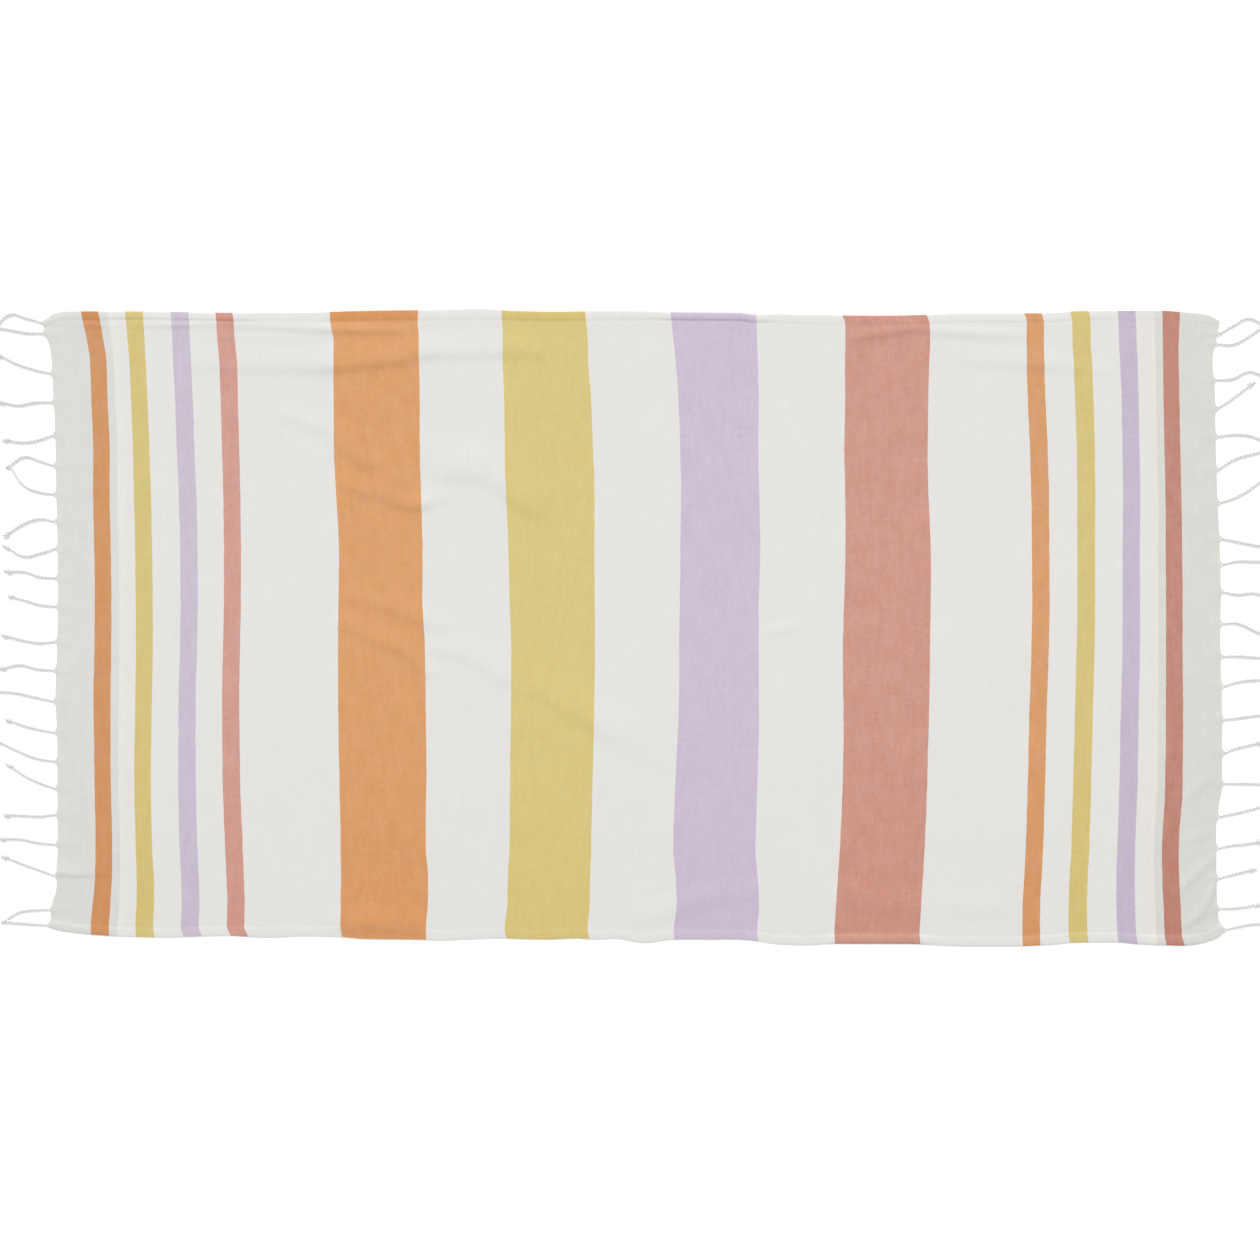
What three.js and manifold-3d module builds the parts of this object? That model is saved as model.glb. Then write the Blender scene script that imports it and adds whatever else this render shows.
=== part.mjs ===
// A flat-woven cotton beach towel, lying flat with a few low creases left in it.
// It is three pieces: the cloth, turned over in a narrow hem along each long side, and at each
// short end a fringe of knotted strands on a narrow backing.
// Millimetres. +X runs along the towel, +Y across it and +Z up. The underside lies on z = 0,
// and the origin is under the middle of the cloth.
import * as THREE from 'three';
import { mergeVertices } from 'three/addons/utils/BufferGeometryUtils.js';
import Module from 'manifold-3d';

const LENGTH = 1672; // of the cloth, between its two short ends
const WIDTH = 900; // between its two hemmed long sides
const CLOTH_THICK = 1.2;
const HEM_WIDE = 14;

const BACKING = { gap: 0.4, wide: 3, thick: 1.2 };
const STRAND = { wide: 2.6, top: 1.6, high: 2.2, bends: 6 };
const KNOT = { long: 8, wide: 7.5, high: 5 };
const TUFT = { long: 9, wide: 4.6, high: 1.4 };

const COLOURS = { cloth: 0xe6e5e1, fringe: 0xe3e2df };
const FABRIC = { roughness: 0.9, metalness: 0 };

/** Rows of numbers under named columns, as one object a row. */
const table = (columns, rows) =>
  rows.map((row) => Object.fromEntries(columns.split(' ').map((name, i) => [name, row[i]])));

// The hem in section, from the cloth to its folded edge: 'inset' from the edge, and 'thick'.
const HEM_SECTION = table('inset thick', [
  [HEM_WIDE, CLOTH_THICK],
  [12.6, 2.4],
  [1.2, 2.4],
  [0, 1.4],
]);

// How far each side of the cloth strays outward from its straight line. 'along' is measured from
// the left end on the two long sides, and from the lower side on the two ends.
const OUTLINE = {
  upper: table('along out', [
    [0, -10], [14, -1], [38, 1.3], [300, 0.6], [460, 3.6], [590, 4.2], [770, 2.3], [1000, -0.6],
    [1040, -3.7], [1250, -3.7], [1390, -0.7], [1490, 2.2], [1620, 0.6], [1655, -3], [1672, -11.5],
  ]),
  lower: table('along out', [
    [0, -17.3], [16, -10.8], [58, -5], [129, -2], [414, -1.7], [536, 2.9], [577, 4], [649, -0.7],
    [770, 0], [841, 4.9], [940, 1.6], [1004, 5.3], [1025, 8.9], [1239, 7.5], [1353, 11.5],
    [1481, 6.4], [1589, 10.8], [1630, 10.6], [1650, 3.5], [1672, -11.5],
  ]),
  left: table('along out', [
    [0, 11.4], [27, 8.5], [39, 3.5], [79, 2.5], [113, -0.9], [269, -0.9], [347, 2], [388, 0.6],
    [490, -3], [610, -0.9], [707, 1.3], [781, 5.6], [840, 8.8], [860, 10.7], [885, 19.3], [900, 17.9],
  ]),
  right: table('along out', [
    [0, 8.5], [18, 0], [44, -2.3], [148, -3.6], [185, 0.6], [216, 5.6], [312, 5.6], [436, 2],
    [579, 4], [729, -1.6], [783, -4.5], [842, -8.8], [881, -2.3], [900, 2],
  ]),
};

// The creases left in the cloth: low ridges, each along a line of points, highest in its middle
// stretch and dying away at its ends. 'half' is from the crest to the foot.
const CREASES = [
  { high: 3.2, half: 19, line: [[-631, 379], [-436, 378], [-343, 389], [-199, 399], [-112, 394]] },
  { high: 2.0, half: 16, line: [[-541, 325], [-436, 280], [-412, 254], [-383, 238]] },
  { high: 3.0, half: 18, line: [[-444, 222], [-393, 197], [-328, 176], [-290, 181]] },
  { high: 2.6, half: 18, line: [[-292, 221], [-227, 220], [-166, 181], [-128, 160]] },
  { high: 2.6, half: 16, line: [[-436, 44], [-379, 32], [-307, 8], [-258, -6]] },
  { high: 2.6, half: 16, line: [[-438, 8], [-383, -17], [-340, -35], [-302, -63], [-270, -84]] },
  { high: 1.8, half: 16, line: [[-284, -34], [-245, -41], [-210, -66], [-174, -88]] },
  { high: 2.2, half: 20, line: [[-163, -80], [-109, -112], [-23, -158], [35, -198]] },
  { high: 2.4, half: 14, line: [[290, 412], [348, 416], [399, 420], [464, 419], [580, 416]] },
  { high: 2.2, half: 18, line: [[420, 383], [565, 377], [680, 362]] },
  { high: 1.6, half: 15, line: [[-765, 428], [-759, 382], [-757, 318]] },
  { high: 1.6, half: 16, line: [[768, -388], [818, -337]] },
  { high: 1.4, half: 16, line: [[776, -272], [820, -221]] },
  { high: 2.2, half: 15, line: [[762, -428], [818, -398]] },
];
const CREASE_ENDS = 0.22; // the share of a crease over which it rises from nothing, at each end
const END_FLAT = 12; // the cloth lies flat this near its short ends, where the fringe is
const END_FREE = 36; // and the creases have their full height from here in

// One row a strand. 'root' is where it leaves the cloth's end, as a height above the middle.
// 'reach' is from there to its knot, and the last three are how far it has swung up the end at
// one third, two thirds and the whole of that. A strand without a knot is tied into its neighbour's.
const STRAND_COLUMNS = 'root reach third twoThirds end knotted';
const LEFT_STRANDS = table(STRAND_COLUMNS, [
  [436, 69, 5, 12.5, 1, 0], [421, 62, 2, 5, 9, 1], [363.5, 73, 6, 14, 26, 1], [322, 73, 0, -4, 0, 1],
  [274.5, 68, -7, -10, -7, 1], [230.5, 65, 7.5, 13, 0, 1], [189.5, 65, 3.5, 12, 33, 0],
  [150.5, 70.5, 3.5, -4.5, -21.5, 1], [111.5, 70.5, -7, -11, 2, 1], [69, 72, 2, 9, 10, 1],
  [28, 65, 2.5, 8.5, 14.5, 1], [-22.5, 72, -1.5, 2.5, 8.5, 1], [-64, 76, 2.5, 8, 3.5, 1],
  [-108.5, 83.5, 6.5, 12.5, 14.5, 1], [-153.5, 68, 4.5, 10, 18, 1], [-195, 83.5, 5, 16, 29, 1],
  [-234, 66, 8, 18, 33, 1], [-271.5, 69, -2, -1, 0, 1], [-314.5, 78, 3, 8, 8.5, 1],
  [-359.5, 70.5, 9, 17.5, 26, 1], [-409.5, 68, 0, -2, -17, 1], [-430, 56, 1.5, 2, -1, 0],
]);
const RIGHT_STRANDS = table(STRAND_COLUMNS, [
  [420, 63, 12.5, 22.5, 18, 0], [405.5, 69, 0, 11, 27.5, 1], [354, 73.5, 2, 12, 3.5, 1],
  [313, 47.5, 9.5, 20, 31.5, 1], [270, 72, 4.5, 3, -7, 1], [224, 73.5, 14.5, 21, 26, 1],
  [178, 70.5, 6, 18.5, 39, 1], [125.5, 69, -4, -8.5, -12, 1], [88.5, 70.5, 4.5, 4.5, 6, 1],
  [49, 66, -3.5, -1.5, -8, 1], [3, 66, 1, -8, -16.5, 1], [-47, 70.5, 3, 1, 1.5, 1],
  [-88.5, 67.5, 7, 9.5, 11.5, 1], [-135.5, 66, 3, 6, 8.5, 1], [-183, 50.5, 6, 10, 13.5, 1],
  [-228, 66, 1, 0.5, 0, 1], [-274.5, 67.5, 5, 10.5, 17, 1], [-322, 60.5, 4.5, 6, 10, 1],
  [-365, 47.5, 5, 9, 13, 1], [-408, 54.5, 1, 2.5, 6, 1], [-437, 62, 5, 8.5, 8.5, 1],
]);

/** The 'out' of a smooth line through a table's rows, which never swings past a row. */
function strayAt(rows, along) {
  const slope = (i) => (rows[i + 1].out - rows[i].out) / (rows[i + 1].along - rows[i].along);
  const lean = (i) => {
    if (i === 0 || i === rows.length - 1) return slope(Math.min(i, rows.length - 2));
    const [before, after] = [slope(i - 1), slope(i)];
    return before * after > 0 ? (2 * before * after) / (before + after) : 0;
  };
  const after = rows.findIndex((row) => row.along >= along);
  const i = THREE.MathUtils.clamp(after - 1, 0, rows.length - 2);
  const span = rows[i + 1].along - rows[i].along;
  const t = (along - rows[i].along) / span;
  const rise = rows[i].out + (rows[i + 1].out - rows[i].out) * t * t * (3 - 2 * t);
  return rise + span * t * (1 - t) * (lean(i) * (1 - t) - lean(i + 1) * t);
}

/** Where a point of the cloth lies: 'along' from its left end and 'across' from its lower side. */
function layFlat(along, across) {
  const left = -LENGTH / 2 - strayAt(OUTLINE.left, across);
  const right = LENGTH / 2 + strayAt(OUTLINE.right, across);
  const lower = -WIDTH / 2 - strayAt(OUTLINE.lower, along);
  const upper = WIDTH / 2 + strayAt(OUTLINE.upper, along);
  return new THREE.Vector2(
    THREE.MathUtils.lerp(left, right, along / LENGTH),
    THREE.MathUtils.lerp(lower, upper, across / WIDTH),
  );
}

/** How far a point is from a crease's line, and how far along it the nearest place is, as a share. */
function placeOnLine(line, point) {
  const stops = line.map(([x, y]) => new THREE.Vector2(x, y));
  const lengths = stops.slice(1).map((stop, i) => stop.distanceTo(stops[i]));
  const whole = lengths.reduce((sum, length) => sum + length, 0);
  let best = { away: Infinity, share: 0 };
  let passed = 0;
  lengths.forEach((length, i) => {
    const run = stops[i + 1].clone().sub(stops[i]);
    const t = THREE.MathUtils.clamp(point.clone().sub(stops[i]).dot(run) / (length * length), 0, 1);
    const away = point.distanceTo(stops[i].clone().addScaledVector(run, t));
    if (away < best.away) best = { away, share: (passed + length * t) / whole };
    passed += length;
  });
  return best;
}

/** How high the creases lift the cloth off the surface at a point. */
function liftAt(point) {
  const lifts = CREASES.map(({ high, half, line }) => {
    const { away, share } = placeOnLine(line, point);
    if (away >= half) return 0;
    const end = Math.min(1, Math.min(share, 1 - share) / CREASE_ENDS);
    return high * Math.cos((Math.PI / 2) * (away / half)) ** 2 * end * end * (3 - 2 * end);
  });
  return lifts.reduce((sum, lift) => sum + lift, 0);
}

/** The point of the cloth's underside, lifted by the creases but flat near the short ends. */
function underside(along, across) {
  const point = layFlat(along, across);
  const fromEnd = Math.min(along, LENGTH - along);
  const free = THREE.MathUtils.smoothstep(fromEnd, END_FLAT, END_FREE);
  return new THREE.Vector3(point.x, point.y, free > 0 ? liftAt(point) * free : 0);
}

const CELLS = 128; // the cloth between its hems is two squares of this many cells a side
const SAG = 0.8; // a triangle is halved while the cloth bends away from its long side by this

/** Triangles over the cloth between its hems, small where it creases and large where it is flat. */
function panelTriangles() {
  const size = 2 * CELLS + 1;
  const column = (key) => key % size;
  const row = (key) => Math.floor(key / size);
  const key = (i, j) => j * size + i;
  const along = (k) => (column(k) / (2 * CELLS)) * LENGTH;
  const across = (k) => HEM_WIDE + (row(k) / CELLS) * (WIDTH - 2 * HEM_WIDE);
  const seen = new Map();
  const at = (k) => {
    if (!seen.has(k)) seen.set(k, underside(along(k), across(k)));
    return seen.get(k);
  };
  const middle = (a, b) => {
    const [i, j] = [(column(a) + column(b)) / 2, (row(a) + row(b)) / 2];
    return Number.isInteger(i) && Number.isInteger(j) ? key(i, j) : undefined;
  };
  const halves = ([a, b, c]) => [[c, a, middle(a, b)], [b, c, middle(a, b)]];

  // Each triangle is its long side's two ends, then its square corner.
  const square = (i) => [
    [key(i + CELLS, CELLS), key(i, 0), key(i + CELLS, 0)],
    [key(i, 0), key(i + CELLS, CELLS), key(i, CELLS)],
  ];
  const levels = [[...square(0), ...square(CELLS)]];
  while (levels.length < 2 * Math.log2(CELLS)) levels.push(levels.at(-1).flatMap(halves));

  // The bend at a middle counts the bends of all the smaller triangles that share it, so that
  // two triangles on one side are always halved together.
  const bend = new Map();
  for (const level of levels.reverse()) {
    for (const triangle of level) {
      const [a, b] = triangle;
      const m = middle(a, b);
      const sag = at(m).distanceTo(at(a).clone().lerp(at(b), 0.5));
      const smaller = halves(triangle).map(([p, q]) => bend.get(middle(p, q)) ?? 0);
      bend.set(m, Math.max(bend.get(m) ?? 0, sag, ...smaller));
    }
  }
  const cut = (triangle) =>
    (bend.get(middle(triangle[0], triangle[1])) ?? 0) > SAG ? halves(triangle).flatMap(cut) : [triangle];
  return levels.at(-1).flatMap(cut).map((corners) => corners.map((k) => [along(k), across(k)]));
}

/** The two hems, as triangles out from the panel's own points along each long side. */
function hemTriangles(panel) {
  const edges = [
    { edge: HEM_WIDE, across: (inset) => inset },
    { edge: WIDTH - HEM_WIDE, across: (inset) => WIDTH - inset },
  ];
  return edges.flatMap(({ edge, across }) => {
    const stops = [...new Set(panel.flat().filter(([, v]) => v === edge).map(([u]) => u))];
    stops.sort((a, b) => a - b);
    const turn = edge === HEM_WIDE ? 1 : -1;
    return stops.slice(1).flatMap((to, i) => HEM_SECTION.slice(1).flatMap((outer, j) => {
      const [v0, v1] = [across(HEM_SECTION[j].inset), across(outer.inset)];
      const corners = [[stops[i], v0], [stops[i], v1], [to, v1], [to, v0]];
      const [a, b, c, d] = turn > 0 ? corners : corners.reverse();
      return [[a, b, c], [a, c, d]];
    }));
  });
}

/** The cloth's thickness, which the hem's layers add to. */
function thickAt(across) {
  const inset = Math.min(across, WIDTH - across);
  const row = HEM_SECTION.findLast((section) => inset <= section.inset + Number.EPSILON * WIDTH);
  return row ? row.thick : CLOTH_THICK;
}

/** A closed mesh from triangles that list their points. */
function meshGeometry(triangles) {
  const geometry = new THREE.BufferGeometry();
  const numbers = triangles.flat().flatMap((point) => point.toArray());
  geometry.setAttribute('position', new THREE.Float32BufferAttribute(numbers, 3));
  geometry.computeVertexNormals();
  return geometry;
}

/** The cloth: the same triangles above and below, and a wall wherever a triangle's side is free. */
function clothGeometry(flat) {
  const below = ([along, across]) => underside(along, across);
  const above = ([along, across]) => below([along, across]).setZ(below([along, across]).z + thickAt(across));
  const sides = flat.flatMap(([a, b, c]) => [[a, b], [b, c], [c, a]]);
  const name = (a, b) => `${a}/${b}`;
  const known = new Set(sides.map(([a, b]) => name(a, b)));
  const free = sides.filter(([a, b]) => !known.has(name(b, a)));
  return meshGeometry([
    ...flat.map((corners) => corners.map(above)),
    ...flat.map((corners) => corners.map(below).reverse()),
    ...free.flatMap(([a, b]) => [
      [above(a), below(a), below(b)],
      [above(a), below(b), above(b)],
    ]),
  ]);
}

/** A closed solid through rings of points, each ring counterclockwise seen from the far end. */
function loft(rings) {
  const sides = rings.slice(1).flatMap((ring, i) => ring.flatMap((point, k) => {
    const next = (k + 1) % ring.length;
    return [
      [rings[i][k], rings[i][next], ring[next]],
      [rings[i][k], ring[next], point],
    ];
  }));
  const fan = (ring) => ring.slice(2).map((point, k) => [ring[0], ring[k + 1], point]);
  return meshGeometry([...fan([...rings[0]].reverse()), ...sides, ...fan(rings.at(-1))]);
}

/** A strand: its line on the surface, and how wide and high it is at each stop along that. */
function strandGeometry(strand, end, side) {
  const { root, reach } = strand;
  const start = end(root);
  const inside = BACKING.gap + BACKING.wide / 2;
  const swings = [0, strand.third, strand.twoThirds, strand.end];
  const stops = swings.map((swing, i) => new THREE.Vector3(
    start + side * (inside + (i * (reach - inside)) / (swings.length - 1)), root + swing, 0,
  ));
  const line = new THREE.CatmullRomCurve3(stops, false, 'centripetal');
  const away = line.getTangentAt(1);
  const beyond = (distance) => line.getPointAt(1).addScaledVector(away, distance);
  const plain = { wide: STRAND.wide, high: STRAND.high };
  const bends = Array.from({ length: STRAND.bends + 1 }, (_, i) => {
    const share = (i / STRAND.bends) * (1 - KNOT.long / 2 / line.getLength());
    return { point: line.getPointAt(share), along: line.getTangentAt(share), ...plain };
  });
  const knot = [
    { point: beyond(-KNOT.long / 4), wide: KNOT.wide, high: KNOT.high },
    { point: beyond(KNOT.long / 4), wide: KNOT.wide, high: KNOT.high },
    { point: beyond(KNOT.long / 2), wide: STRAND.wide, high: STRAND.high },
    { point: beyond(KNOT.long / 2 + TUFT.long), wide: TUFT.wide, high: TUFT.high },
  ];
  const sections = strand.knotted ? [...bends, ...knot] : bends;
  return loft(sections.map(({ point, along = away, wide, high }) => {
    const across = new THREE.Vector3(-along.y, along.x, 0).normalize();
    const corner = (offset, z) => point.clone().addScaledVector(across, offset).setZ(z);
    const top = (wide * STRAND.top) / STRAND.wide;
    return [corner(-wide / 2, 0), corner(wide / 2, 0), corner(top / 2, high), corner(-top / 2, high)];
  }));
}

const wasm = await Module();
wasm.setup();

/** A closed geometry as a solid that can be joined to others. */
function asSolid(geometry) {
  const bare = geometry.clone();
  bare.deleteAttribute('normal');
  bare.deleteAttribute('uv');
  const merged = mergeVertices(bare);
  return new wasm.Manifold(new wasm.Mesh({
    numProp: 3,
    vertProperties: merged.getAttribute('position').array,
    triVerts: new Uint32Array(merged.index.array),
  }));
}

/** Solids joined into one, as a geometry. */
function joined(geometries) {
  const mesh = geometries.map(asSolid).reduce((whole, solid) => whole.add(solid)).getMesh();
  const geometry = new THREE.BufferGeometry();
  geometry.setAttribute('position', new THREE.Float32BufferAttribute(mesh.vertProperties, 3));
  geometry.setIndex([...mesh.triVerts]);
  geometry.computeVertexNormals();
  return geometry;
}

/** One end's fringe: a narrow backing along the cloth's end, with the strands' roots in it. */
function fringeGeometry(flat, strands, side) {
  const along = side < 0 ? 0 : LENGTH;
  const stops = [...new Set(flat.flat().filter(([u]) => u === along).map(([, v]) => v))];
  const edge = stops.sort((a, b) => a - b).map((v) => layFlat(along, v));
  const shifted = (distance) => edge.map(({ x, y }) => new THREE.Vector2(x + side * distance, y));
  const { gap, wide, thick } = BACKING;
  const outline = new THREE.Shape([...shifted(gap), ...shifted(gap + wide).reverse()]);
  const backing = new THREE.ExtrudeGeometry(outline, { depth: thick, bevelEnabled: false });
  const endAt = (height) => {
    const i = THREE.MathUtils.clamp(edge.findIndex(({ y }) => y >= height), 1, edge.length - 1);
    const share = (height - edge[i - 1].y) / (edge[i].y - edge[i - 1].y);
    return THREE.MathUtils.lerp(edge[i - 1].x, edge[i].x, share);
  };
  return joined([backing, ...strands.map((strand) => strandGeometry(strand, endAt, side))]);
}

/** One named piece of the towel. */
function piece(name, geometry, color) {
  const mesh = new THREE.Mesh(geometry, new THREE.MeshStandardMaterial({ color, ...FABRIC }));
  mesh.name = name;
  return mesh;
}

const panel = panelTriangles();
const flatTriangles = [...panel, ...hemTriangles(panel)];

const towel = new THREE.Group();
towel.add(piece('cloth', clothGeometry(flatTriangles), COLOURS.cloth));
towel.add(piece('fringe_left', fringeGeometry(flatTriangles, LEFT_STRANDS, -1), COLOURS.fringe));
towel.add(piece('fringe_right', fringeGeometry(flatTriangles, RIGHT_STRANDS, 1), COLOURS.fringe));
export default towel;
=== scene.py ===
import math

import bpy
from mathutils import Matrix, Vector, noise


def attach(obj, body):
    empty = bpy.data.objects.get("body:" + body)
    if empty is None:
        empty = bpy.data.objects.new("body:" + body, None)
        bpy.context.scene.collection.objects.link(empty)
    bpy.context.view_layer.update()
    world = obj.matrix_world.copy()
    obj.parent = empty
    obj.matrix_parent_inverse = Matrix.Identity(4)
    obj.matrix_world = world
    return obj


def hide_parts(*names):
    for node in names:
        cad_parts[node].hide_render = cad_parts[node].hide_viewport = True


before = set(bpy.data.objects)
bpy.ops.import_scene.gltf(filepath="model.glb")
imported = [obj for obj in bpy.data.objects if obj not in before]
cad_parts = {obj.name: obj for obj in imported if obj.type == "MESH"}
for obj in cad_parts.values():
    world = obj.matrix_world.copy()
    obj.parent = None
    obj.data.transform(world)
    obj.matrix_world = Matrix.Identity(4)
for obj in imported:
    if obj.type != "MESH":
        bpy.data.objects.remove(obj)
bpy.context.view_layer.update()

MM = 0.001
LENGTH = 1672  # of the cloth, between its two short ends
WIDTH = 900  # between its two hemmed long sides
CLOTH_THICK = 1.2
LEFT_REST = -833  # the x that the stripes' places along the cloth are measured from
STITCH_INSET = 12.6  # of the hem's stitching, from the folded edge


def table(columns, rows):
    """Rows of numbers under named columns, as one dictionary a row."""
    names = columns.split()
    return [dict(zip(names, row)) for row in rows]


# How far each side of the cloth strays outward from its straight line. 'along' is measured from
# the left end on the two long sides, and from the lower side on the two ends.
OUTLINE = {
    "upper": table("along out", [
        (0, -10), (14, -1), (30, 2.3), (140, 2.2), (200, 1.3), (255, 0.2), (360, 0.4), (430, 2.4),
        (500, 3.8), (560, 4.2), (600, 5.7), (630, 5.4), (665, 2.8), (730, 1.8), (790, 2.7),
        (860, 2.6), (900, 1.1), (985, 0.2), (1005, -2.2), (1031, -1.2), (1080, -2.8), (1190, -4),
        (1262, -2.6), (1320, -0.4), (1430, -0.5), (1480, 2.8), (1590, 3.1), (1620, 1.2),
        (1655, -3), (1672, -11.5),
    ]),
    "lower": table("along out", [
        (0, -15.5), (8, -12), (16, -10), (32, -7.6), (58, -4.6), (87, -2.8), (145, -1.2),
        (231, -3.6), (289, -1), (346, -3.2), (400, -1.8), (433, 1.1), (519, 2.2), (548, 3.2),
        (577, 2), (634, 0.2), (706, 1.8), (750, 0.2), (778, 1.6), (808, 0.6), (850, 6.6), (893, 1.8),
        (980, 1.8), (1009, 4.6), (1038, 8.4), (1081, 10), (1124, 8), (1239, 8.2), (1268, 9.4),
        (1311, 11.3), (1383, 11.6), (1441, 9.4), (1470, 6.4), (1527, 5.8), (1556, 8.6), (1585, 10),
        (1613, 10.8), (1636, 8.6), (1652, 4), (1664, -1.4), (1672, -10.5),
    ]),
    "left": table("along out", [
        (0, 10.5), (18, 9.4), (28, 7.8), (39, 6.8), (49, 3), (61, 1), (75, 0.7), (92, 1),
        (113, -0.6), (180, -0.3), (269, 0), (347, 2.6), (388, 1.2), (436, -0.2), (490, -1),
        (556, -0.6), (610, 0.6), (662, 1.8), (707, 2.4), (745, 3.4), (781, 5.4), (840, 8.4),
        (860, 10.7), (885, 19.3), (900, 17.9),
    ]),
    "right": table("along out", [
        (0, 8.5), (18, 0), (44, -2.3), (148, -3.6), (185, 0.4), (216, 4.8), (312, 5), (436, 2.2),
        (489, 3), (559, 1.7), (610, -0.4), (662, -2.6), (731, -4.5), (783, -4.9), (842, -8.8),
        (881, -2.3), (900, 2),
    ]),
}

# The weft's colours, with the undyed yarns' own whites.
DYES = {
    "left_end": "#DDDCD8",
    "right_end": "#DBDAD5",
    "ground": "#E6E4E0",
    "left_cream": "#E7E6DF",
    "right_cream": "#E6E4DD",
    "orange": "#DCA16E",
    "left_narrow_orange": "#D39868",
    "right_narrow_orange": "#D99F70",
    "yellow": "#DAC884",
    "narrow_yellow": "#D7C481",
    "lilac": "#CDC1D3",
    "left_narrow_lilac": "#CBC1D0",
    "right_narrow_lilac": "#C7BCCD",
    "coral": "#D09A8A",
    "narrow_coral": "#D39F92",
    "deep_coral": "#C38B7C",
}
# The weft stripes, from the left end: where each starts and ends along the cloth, its dye, how
# uneven the dyed yarn is, and how much deeper it looks where a hem doubles it.
STRIPES = table("start end dye uneven hem", [
    (0, 51.5, "left_end", 0.6, 0),
    (51.5, 75, "left_narrow_orange", 1, 0.14),
    (75, 86.5, "left_end", 0.6, 0),
    (86.5, 97, "left_cream", 0.5, 0),
    (110, 134.5, "narrow_yellow", 0.9, 0.03),
    (174.5, 199.5, "left_narrow_lilac", 0.9, 0),
    (237, 261.5, "narrow_coral", 1.3, 0.13),
    (402, 522.5, "orange", 1, 0.15),
    (648, 770.5, "yellow", 0.75, 0.14),
    (893, 1007, "lilac", 0.85, 0.05),
    (1129.5, 1254.5, "coral", 1.4, 0.04),
    (1400.5, 1425.5, "right_narrow_orange", 1.1, 0.04),
    (1465.5, 1491, "narrow_yellow", 0.9, 0),
    (1530.5, 1555.5, "right_narrow_lilac", 0.9, 0.04),
    (1572, 1582, "right_cream", 0.5, 0),
    (1582, 1593, "right_end", 0.6, 0),
    (1593, 1617, "deep_coral", 1.4, 0.04),
    (1617, LENGTH, "right_end", 0.6, 0),
])
UNDYED = ("left_end", "right_end", "left_cream", "right_cream")
DYED = [stripe for stripe in STRIPES if stripe["dye"] not in UNDYED]
GROUND_UNEVEN = 0.35

# How far the weave has drifted to the right at the middle of each dyed stripe, from the left one
# to the right one, with a row for each height 'across' the cloth.
DYE_ORDER = ("orange", "yellow", "lilac", "coral")
DRIFT_COLUMNS = [f"{dye}_{group}" for group in (1, 2, 3) for dye in DYE_ORDER]
DRIFT = table(" ".join(["across", *DRIFT_COLUMNS]), [
    (0, -4.5, 2, 5, 11, 5.5, -6, -4.5, -14, -13.5, -10.5, -4.5, 2.5),
    (14, -4.5, 0.5, 0.5, 5, 4, -8.5, -5.5, -15, -14, -12.5, -6.5, -0.5),
    (50, -2, 2, 1.5, 5.5, 5.5, -5, -2, -13, -14, -12.5, -8, -2),
    (90, 1, 1.5, 0.5, 4, 6, -4.5, -3.5, -10.5, -12, -11.5, -8, -4.5),
    (127, 1.5, -0.5, -1.5, 2.5, 4, -2.5, -7, -8, -10, -9, -7.5, -5.5),
    (231, -0.5, -2.5, -3.5, -1.5, 3.5, -1, -4, -3.5, -6.5, -6, -4, -0.5),
    (343, -1.5, -0.5, -3.5, -2.5, 2, 1, -0.5, -1.5, -4, -3, -2, 0.5),
    (415, -0.5, 0.5, -1, -1.5, 1.5, 1.5, -0.5, -1.5, -1.5, -1, 0, 0),
    (487, 0, 0, 0, 0, 0, 0, 0, 0, 0, 0, 0, 0),
    (560, -1, -1, -0.5, 0, 0.5, -1, 1.5, 1, -0.5, 0, 0, -0.5),
    (631, -2.5, -2.5, -2.5, -0.5, -2.5, -2.5, 1.5, -0.5, -1, 0, 1, -1),
    (700, -2, -4.5, -5.5, -2, -5, -4.5, 0, -2, -3, -0.5, 0, -2.5),
    (775, -5, -7.5, -8, -4, -5.5, -6.5, -1, -1, -6.5, -2.5, -1.5, -4),
    (829, -6.5, -10, -11, -5.5, -6, -9.5, -3.5, -0.5, -8.5, -5, -3, -4.5),
    (861, -12, -12, -12, -9, -6, -10, -6, 0.5, -8.5, -7, -5, -4.5),
    (887, -17, -13.5, -13, -10.5, -9.5, -11.5, -7.5, 0, -8.5, -7, -6, -4.5),
    (900, -20.5, -14, -14.5, -12, -9.5, -12.5, -8.5, -4.5, -12, -10, -7, -5),
])
# How wide the four wide stripes are at each height, where the weave has spread or closed up.
SPREAD = table("across orange yellow lilac coral", [
    (0, 122, 120, 121, 122.5), (73, 126, 118.5, 118.5, 122.5), (145, 122.5, 117.5, 118.5, 122),
    (260, 126, 119.5, 117.5, 121.5), (375, 126, 120, 114.5, 124.5), (433, 124.5, 121, 114.5, 125.5),
    (490, 120.5, 122.5, 113.5, 124.5), (560, 120.5, 124, 115, 123), (665, 123, 128, 112, 119.5),
    (722, 124, 126.5, 112.5, 120), (780, 124, 125, 116, 119.5), (850, 122.5, 122.5, 119.5, 122),
    (900, 127.5, 120.5, 124, 121),
])

# The hem in section, from its folded edge inwards: two turned layers that stand puffed between
# the edge and the stitching, and the groove that the stitching pulls down.
HEM_SECTION = table("inset thick", [
    (0, 1.2), (0.6, 1.9), (1.5, 2.5), (3, 2.9), (6, 3), (8.2, 2.8), (9.8, 2.4), (11, 1.6),
    (12, 1.1), (STITCH_INSET, 1.05), (14.2, 1.2), (15.5, 1.3), (18, 1.25), (21, CLOTH_THICK),
])
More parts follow.
